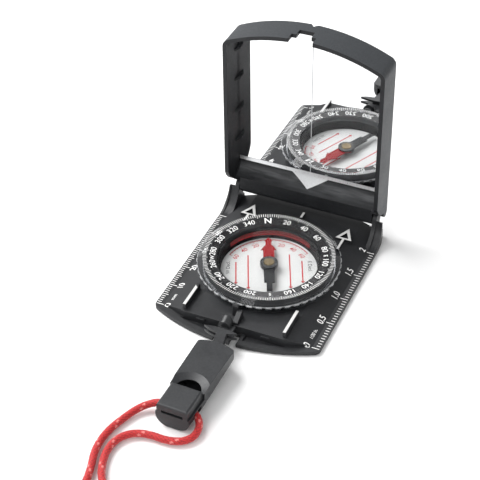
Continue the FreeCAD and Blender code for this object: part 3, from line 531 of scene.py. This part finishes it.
def scale_ground():
    """Gloss black ground under the numbers of the graduated ring."""
    ground = Print()
    steps, rows = 180, (17.45, 18.3, 19.2, 20.1)
    points = []
    for i in range(steps):
        angle = 2 * math.pi * i / steps
        for r in rows:
            points.append((r * math.cos(angle), r * math.sin(angle), scale_height(r) - GROUND_DROP))
    faces = []
    for i in range(steps):
        a, b = i * len(rows), (i + 1) % steps * len(rows)
        faces += [[a + k, b + k, b + k + 1, a + k + 1] for k in range(len(rows) - 1)]
    ground.add(points, faces)
    ground.make("scale_ground", ground_black, "bezel")


def bezel_scale():
    """A stroke every 2 degrees, a number every 20 and the four cardinal letters."""
    ink = Print()
    stroke_radius, number_radius = 21.15, 18.85
    for degrees in range(0, 360, 2):
        long = degrees % 10 == 0
        ink.bar((0, -0.75 if long else -0.3), (0, 0.95), 0.2, around(degrees, stroke_radius))
    for degrees in range(20, 360, 20):
        if degrees != 180:
            ink.text(str(degrees), 2.8, around(degrees, number_radius))
    ink.text("N", 3.5, around(0, 18.9), 0.07)
    for word, degrees in (("E", 90), ("S", 180), ("W", 270)):
        ink.text(word, 1.9, around(degrees, 18.8), 0.02)
    ink.make("bezel_scale", ink_white, "bezel")


DIAL_TOP = 4.1
ARC_R = 15.2                    # the declination scale on the dial


def dial_place(height):
    """A mapping for flat marks on the dial, whose +v points north."""
    def place(u, v):
        return (u * math.cos(NORTH) - v * math.sin(NORTH), u * math.sin(NORTH) + v * math.cos(NORTH), height)
    return place


def dial_ring(degrees, radius, height):
    """A mapping for marks that stand on a circle of the dial, at a bearing from north."""
    flat = dial_place(height)
    middle = math.radians(90 - degrees)

    def place(u, v):
        angle = middle - u / radius
        r = radius + v
        return flat(r * math.cos(angle), r * math.sin(angle))
    return place


def dial_marks():
    """Meridian arrows, the declination arc with its numbers, the gate for the needle and the words."""
    top = DIAL_TOP + INK
    flat = dial_place(top)
    ink = Print()
    for side in (-1, 1):
        for x, y0, y1 in ((7.0, -9.9, 7.2), (11.1, -7.3, 3.7)):
            ink.bar((side * x, y0), (side * x, y1), 0.42, flat)
            ink.bar((side * x - 0.55, y0 + 0.75), (side * x, y0 - 0.1), 0.3, flat)
            ink.bar((side * x + 0.55, y0 + 0.75), (side * x, y0 - 0.1), 0.3, flat)
    for step in range(60):
        degrees = -60 + 2 * step
        arc = dial_ring(degrees + 1, ARC_R, top)
        ink.bar((-0.28, 0), (0.28, 0), 0.34, arc)
    for degrees in range(-60, 61, 5):
        length = 1.0 if degrees % 20 == 0 else 0.6
        ink.bar((0, 0.1), (0, -length), 0.22, dial_ring(degrees, ARC_R, top))
    for degrees in (20, 40, 60):
        for side in (-1, 1):
            ink.text(str(degrees), 2.4, dial_ring(side * degrees, 12.8, top), 0.01)
    for side in (-1, 1):
        ink.bar((side * 0.75, 3.6), (side * 0.75, 14.3), 0.5, flat)
    ink.make("dial_red_marks", ink_red, "bezel")
    words = Print()
    for word, x, turn in (("W Decl.", -13.7, 1), ("E Decl.", 13.7, -1)):
        words.text(word, 1.9, lambda u, v, x=x, turn=turn: flat(x - turn * v, 0.9 + turn * u))
    words.make("dial_words", ink_black, "bezel")


def wall_band():
    """Red band printed round the inside of the capsule wall, about north."""
    wall_r, band_low, band_high, tick_top = 16.25, 5.5, 7.3, 7.25
    tick_half, tick_inset = 0.010, 0.998

    def wall(u, v):
        angle = math.pi / 2 + NORTH - u
        return (wall_r * math.cos(angle), wall_r * math.sin(angle), v)
    band = Print()
    steps = 70
    low, high = math.radians(-52), math.radians(58)
    points = []
    for i in range(steps + 1):
        u = low + (high - low) * i / steps
        points += [wall(u, band_low), wall(u, band_high)]
    faces = [[2 * i, 2 * i + 1, 2 * i + 3, 2 * i + 2] for i in range(steps)]
    band.add(points, faces)
    band.make("wall_band", wall_red, "bezel")
    ticks = Print()
    for degrees in range(-50, 57, 2):
        u = math.radians(degrees)
        deep = 5.6 if degrees % 10 == 0 else 6.1
        left, right = u - tick_half, u + tick_half
        quad = [wall(left, deep), wall(right, deep), wall(right, tick_top), wall(left, tick_top)]
        ticks.add([(x * tick_inset, y * tick_inset, z) for x, y, z in quad], [[0, 1, 2, 3]])
    ticks.make("wall_ticks", ink_black, "bezel")


def rulers():
    """50 mm on the left edge and 2 inches in twentieths on the right edge."""
    place = lift_onto("base_plate")
    zero, edge, twentieth = -27.0, 28.75, 1.27
    left = Print()
    for mm in range(0, 51):
        length = 2.6 if mm % 10 == 0 else 1.9 if mm % 5 == 0 else 1.35
        left.bar((-edge, zero + mm), (-edge + length, zero + mm), 0.26, place, 6)
    for mm in range(0, 50, 10):
        shift = zero + mm
        left.text(str(mm), 3.0, lambda u, v, s=shift: place(-24.5 - v, s + u), 0.03)
    left.text("mm", 2.0, lambda u, v: place(-24.2 - v, zero + 3.9 + u), 0.01)
    left.make("ruler_mm", ink_white, "base")
    right = Print()
    for step in range(0, 41):
        y = zero + step * twentieth
        length = 2.6 if step % 10 == 0 else 1.35
        right.bar((edge, y), (edge - length, y), 0.26, place, 6)
    for step, label in ((0, "0"), (10, "0.5"), (20, "1.0"), (30, "1.5"), (40, "2")):
        shift = zero + step * twentieth
        right.text(label, 3.0, lambda u, v, s=shift: place(24.6 - v, s + u), 0.03)
    right.text("1/20 in.", 1.6, lambda u, v: place(24.7 - v, zero + 5.4 + u), 0.005)
    right.make("ruler_inch", ink_white, "base")


def lid_point(x, y, z):
    """A place on the closed lid, carried to where the open lid holds it."""
    y, z = y - HINGE[0], z - HINGE[1]
    return (x, HINGE[0] + y * math.cos(LID_OPEN) - z * math.sin(LID_OPEN),
            HINGE[1] + y * math.sin(LID_OPEN) + z * math.cos(LID_OPEN))


def lid_marks():
    """The sighting line on the mirror and the triangle in the cove below it."""
    mirror_z, line_start, line_end = 11.2, -31.6, 23.3
    line = Print()
    line.bar((0, line_start), (0, line_end), 0.28, lambda u, v: lid_point(u, v, mirror_z - INK), 12)
    line.make("sight_line", line_grey, "lid")
    tree = surface_tree("lid_shell")
    rows, cols, half_base, sweep = 14, 8, 6.75, 72.0
    centre_y, centre_z, lift, cove_r = 24.7, 7.0, 0.04, 5.3
    points, faces = [], []
    for i in range(rows + 1):
        angle = math.radians(1.0 + sweep * i / rows)
        half = half_base * (1 - i / rows)
        for j in range(cols + 1):
            x = half * (2 * j / cols - 1)
            start = Vector(lid_point(x, centre_y, centre_z)) * MM
            ahead = Vector(lid_point(x, centre_y + math.sin(angle), centre_z + math.cos(angle))) * MM - start
            hit = tree.ray_cast(start, ahead.normalized())[0]
            far = ((hit - start).length / MM if hit else cove_r) - lift
            points.append(lid_point(x, centre_y + far * math.sin(angle), centre_z + far * math.cos(angle)))
    for i in range(rows):
        for j in range(cols):
            a = i * (cols + 1) + j
            faces.append([a, a + 1, a + cols + 2, a + cols + 1])
    mark = Print()
    mark.add(points, faces)
    mark.make("cove_triangle", ink_grey, "lid")


scale_ground()
bezel_scale()
dial_marks()
wall_band()
rulers()
lid_marks()


# ------------------------------------------------------------------ lanyard
CORD_D = 2.4
CORD_STEP = 0.28                # from one ring of the braid's mesh to the next, mm
BRAID_DEPTH = 0.14
COIL = (3.5, -126.8)
LEFT = [(0.35, -68.45, 3.2), (-3.4, -68.45, 3.2), (-7.2, -68.75, 2.9), (-10.7, -70.4, 1.9),
        (-13.2, -73.7, 1.35), (-15, -78.2, 1.2), (-16.5, -83.2, 1.25), (-17, -88.4, 1.2),
        (-16.3, -93.6, 1.25), (-14.5, -98.6, 1.2), (-13.1, -104.2, 1.25), (-12.9, -110.4, 1.4),
        (-13.1, -117.0, 1.65)]
RIGHT = [(0.35, -68.45, 3.2), (3.5, -68.45, 3.2), (6.5, -69.7, 2.9), (8.3, -72.4, 2.2),
         (8.4, -75.7, 1.4), (6.6, -78.6, 1.2), (3.6, -80.2, 1.25), (0.2, -80.7, 1.2),
         (-3.8, -80.5, 1.25), (-7.9, -81.2, 1.2), (-11.2, -83.5, 1.25), (-13.1, -87.1, 1.2),
         (-13.3, -91.5, 1.25), (-12.1, -96.3, 1.2), (-9.9, -101.1, 1.3), (-6.3, -105.1, 1.5),
         (-1.2, -107.9, 2.3), (5.0, -109.6, 3.4)]


def coil_points():
    """Eight turns: four inwards on the floor, four outwards on top of them."""
    per_turn, turns = 16, 8
    outer_r, floor_z, layer, climb_at, climb_turns = 17.0, 1.85, 2.35, 3.85, 0.4
    points = []
    for i in range(3, per_turn * turns - 4):
        t = i / per_turn
        inward = t if t < turns / 2 else turns - t
        radius = outer_r - CORD_D * min(inward, 3.2)
        climb = min(max((t - climb_at) / climb_turns, 0), 1)
        angle = math.pi + 2 * math.pi * t
        points.append((COIL[0] + radius * math.cos(angle), COIL[1] + radius * math.sin(angle),
                       floor_z + layer * climb * climb * (3 - 2 * climb)))
    return points


def cord_route():
    """The cord's middle, drawn through its chosen points as a fine line."""
    points = LEFT + coil_points() + RIGHT[::-1]
    curve = bpy.data.curves.new("lanyard_route", "CURVE")
    curve.dimensions = "3D"
    curve.resolution_u = 8
    spline = curve.splines.new("NURBS")
    spline.points.add(len(points) - 1)
    for point, place in zip(spline.points, points):
        point.co = (*(Vector(place) * MM), 1.0)
    spline.order_u = 3
    spline.use_endpoint_u = True
    item = add_object("lanyard_route", curve)
    bpy.context.view_layer.update()
    mesh = bpy.data.meshes.new_from_object(item)
    line = [v.co.copy() for v in mesh.vertices]
    bpy.data.objects.remove(item)
    bpy.data.meshes.remove(mesh)
    return line


def walk(line, step):
    """Places at an even spacing along a fine line."""
    out, travelled, target = [line[0]], 0.0, step
    for a, b in zip(line, line[1:]):
        gap = (b - a).length
        while gap > 0 and travelled + gap >= target:
            out.append(a.lerp(b, (target - travelled) / gap))
            target += step
        travelled += gap
    return out


def braid(s, turn):
    """Relief and yarn tone of a braid at length s (mm) and turn (0 to 1) round it."""
    carriers, pitch = 7, 1.5
    a = carriers * turn + s / pitch
    b = carriers * turn - s / pitch
    over = (math.floor(a) + math.floor(b)) % 2 == 0
    across = (a % 1.0) if over else (b % 1.0)
    relief = 1 - (2 * across - 1) ** 2
    index = math.floor(a) if over else math.floor(b) + 3
    tracer = 1.0 if (index % carriers == 0 and over) else 0.0
    return relief, tracer * (1.0 if relief > 0.35 else 0.0)


def make_cord():
    """One braid, from the whistle through the coil and back, replaces the plain tubes and the coil."""
    line = walk(cord_route(), CORD_STEP * MM)
    sides = 24
    verts, faces, tones = [], [], []
    side = Vector((0, 0, 1))
    for i, middle in enumerate(line):
        ahead = (line[min(i + 1, len(line) - 1)] - line[max(i - 1, 0)]).normalized()
        side = (side - ahead * side.dot(ahead)).normalized()
        other = ahead.cross(side)
        for k in range(sides):
            turn = k / sides
            relief, tracer = braid(i * CORD_STEP, turn)
            radius = (CORD_D / 2 - BRAID_DEPTH + BRAID_DEPTH * relief) * MM
            angle = 2 * math.pi * turn
            verts.append(middle + (side * math.cos(angle) + other * math.sin(angle)) * radius)
            # the relief also sets the painted shade in the gaps of the cord's colour
            tones.append((relief, tracer, 0.0, 1.0))
    for i in range(len(line) - 1):
        for k in range(sides):
            n = (k + 1) % sides
            faces.append([i * sides + k, i * sides + n, (i + 1) * sides + n, (i + 1) * sides + k])
    faces.append(list(range(sides))[::-1])
    faces.append([len(verts) - sides + k for k in range(sides)])
    mesh = bpy.data.meshes.new("lanyard_cord")
    mesh.from_pydata(verts, [], faces)
    tone = mesh.color_attributes.new("yarn", "FLOAT_COLOR", "POINT")
    for item, value in zip(tone.data, tones):
        item.color = value
    mesh.shade_smooth()
    mesh.materials.append(cord_material())
    piece = add_object("lanyard_cord", mesh)
    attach(piece, "whistle")
    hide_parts("lanyard_left", "lanyard_right", "lanyard_coil")
    length = sum((b - a).length for a, b in zip(line, line[1:]))
    print("cord length", round(length, 4))
    tuple(line[0])
    [tuple(p) for p in line[::3]]


make_cord()


# ------------------------------------------------------------------ studio
FLOOR_HALF = 6.0
FLOOR_Z = -0.0004
DARK_AIM = (-0.32, 0.70, 0.64)      # the part of the sky that is darker
LAMPS = (("key", (-0.60, 0.10, 0.75), (0, 0, 0), 0.75, 13.0),
         ("fill", (0.70, -0.35, 0.55), (0, 0, 0.01), 0.7, 0.5),
         ("front", (-0.15, -0.80, 0.60), (0, 0, 0.02), 0.6, 2.6))


def make_floor():
    g = Graph("floor_white").set(Specular_IOR_Level=0.2)
    weave = g.noise(20.0, 2.0)
    g.colour(g.blend(weave, (0.90, 0.90, 0.90), (0.93, 0.93, 0.93)))
    g.rough(g.ramp(weave, 0.3, 0.7, 0.75, 0.9))
    corners = ((-1, -1), (1, -1), (1, 1), (-1, 1))
    mesh = bpy.data.meshes.new("floor")
    mesh.from_pydata([(x * FLOOR_HALF, y * FLOOR_HALF, FLOOR_Z) for x, y in corners], [], [[0, 1, 2, 3]])
    mesh.materials.append(g.mat)
    add_object("floor", mesh)


def make_sky():
    """White surroundings with a darker patch on the far side, which the flat upper faces reflect."""
    world = bpy.data.worlds.new("studio")
    world.use_nodes = True
    tree = world.node_tree
    sky = tree.nodes["Background"]
    sky.inputs[0].default_value = (1.0, 1.0, 1.0, 1.0)
    ray = tree.nodes.new("ShaderNodeTexCoord").outputs["Generated"]
    aim = tree.nodes.new("ShaderNodeVectorMath")
    aim.operation = "DOT_PRODUCT"
    aim.inputs[1].default_value = DARK_AIM
    tree.links.new(ray, aim.inputs[0])
    flag = tree.nodes.new("ShaderNodeMapRange")
    for socket, number in zip(("From Min", "From Max", "To Min", "To Max"), (0.45, 0.92, 0.66, 0.34)):
        flag.inputs[socket].default_value = number
    tree.links.new(aim.outputs["Value"], flag.inputs["Value"])
    tree.links.new(flag.outputs[0], sky.inputs[1])
    bpy.context.scene.world = world


def make_lamps():
    for name, place, target, size, power in LAMPS:
        data = bpy.data.lights.new(name, "AREA")
        data.shape, data.size, data.energy = "DISK", size, power
        lamp = add_object(name, data)
        lamp.location = place
        lamp.rotation_mode = "QUATERNION"
        lamp.rotation_quaternion = (Vector(target) - Vector(place)).to_track_quat("-Z", "Y")


make_floor()
make_sky()
make_lamps()
bpy.context.scene.view_settings.view_transform = "Standard"

bpy.context.view_layer.update()
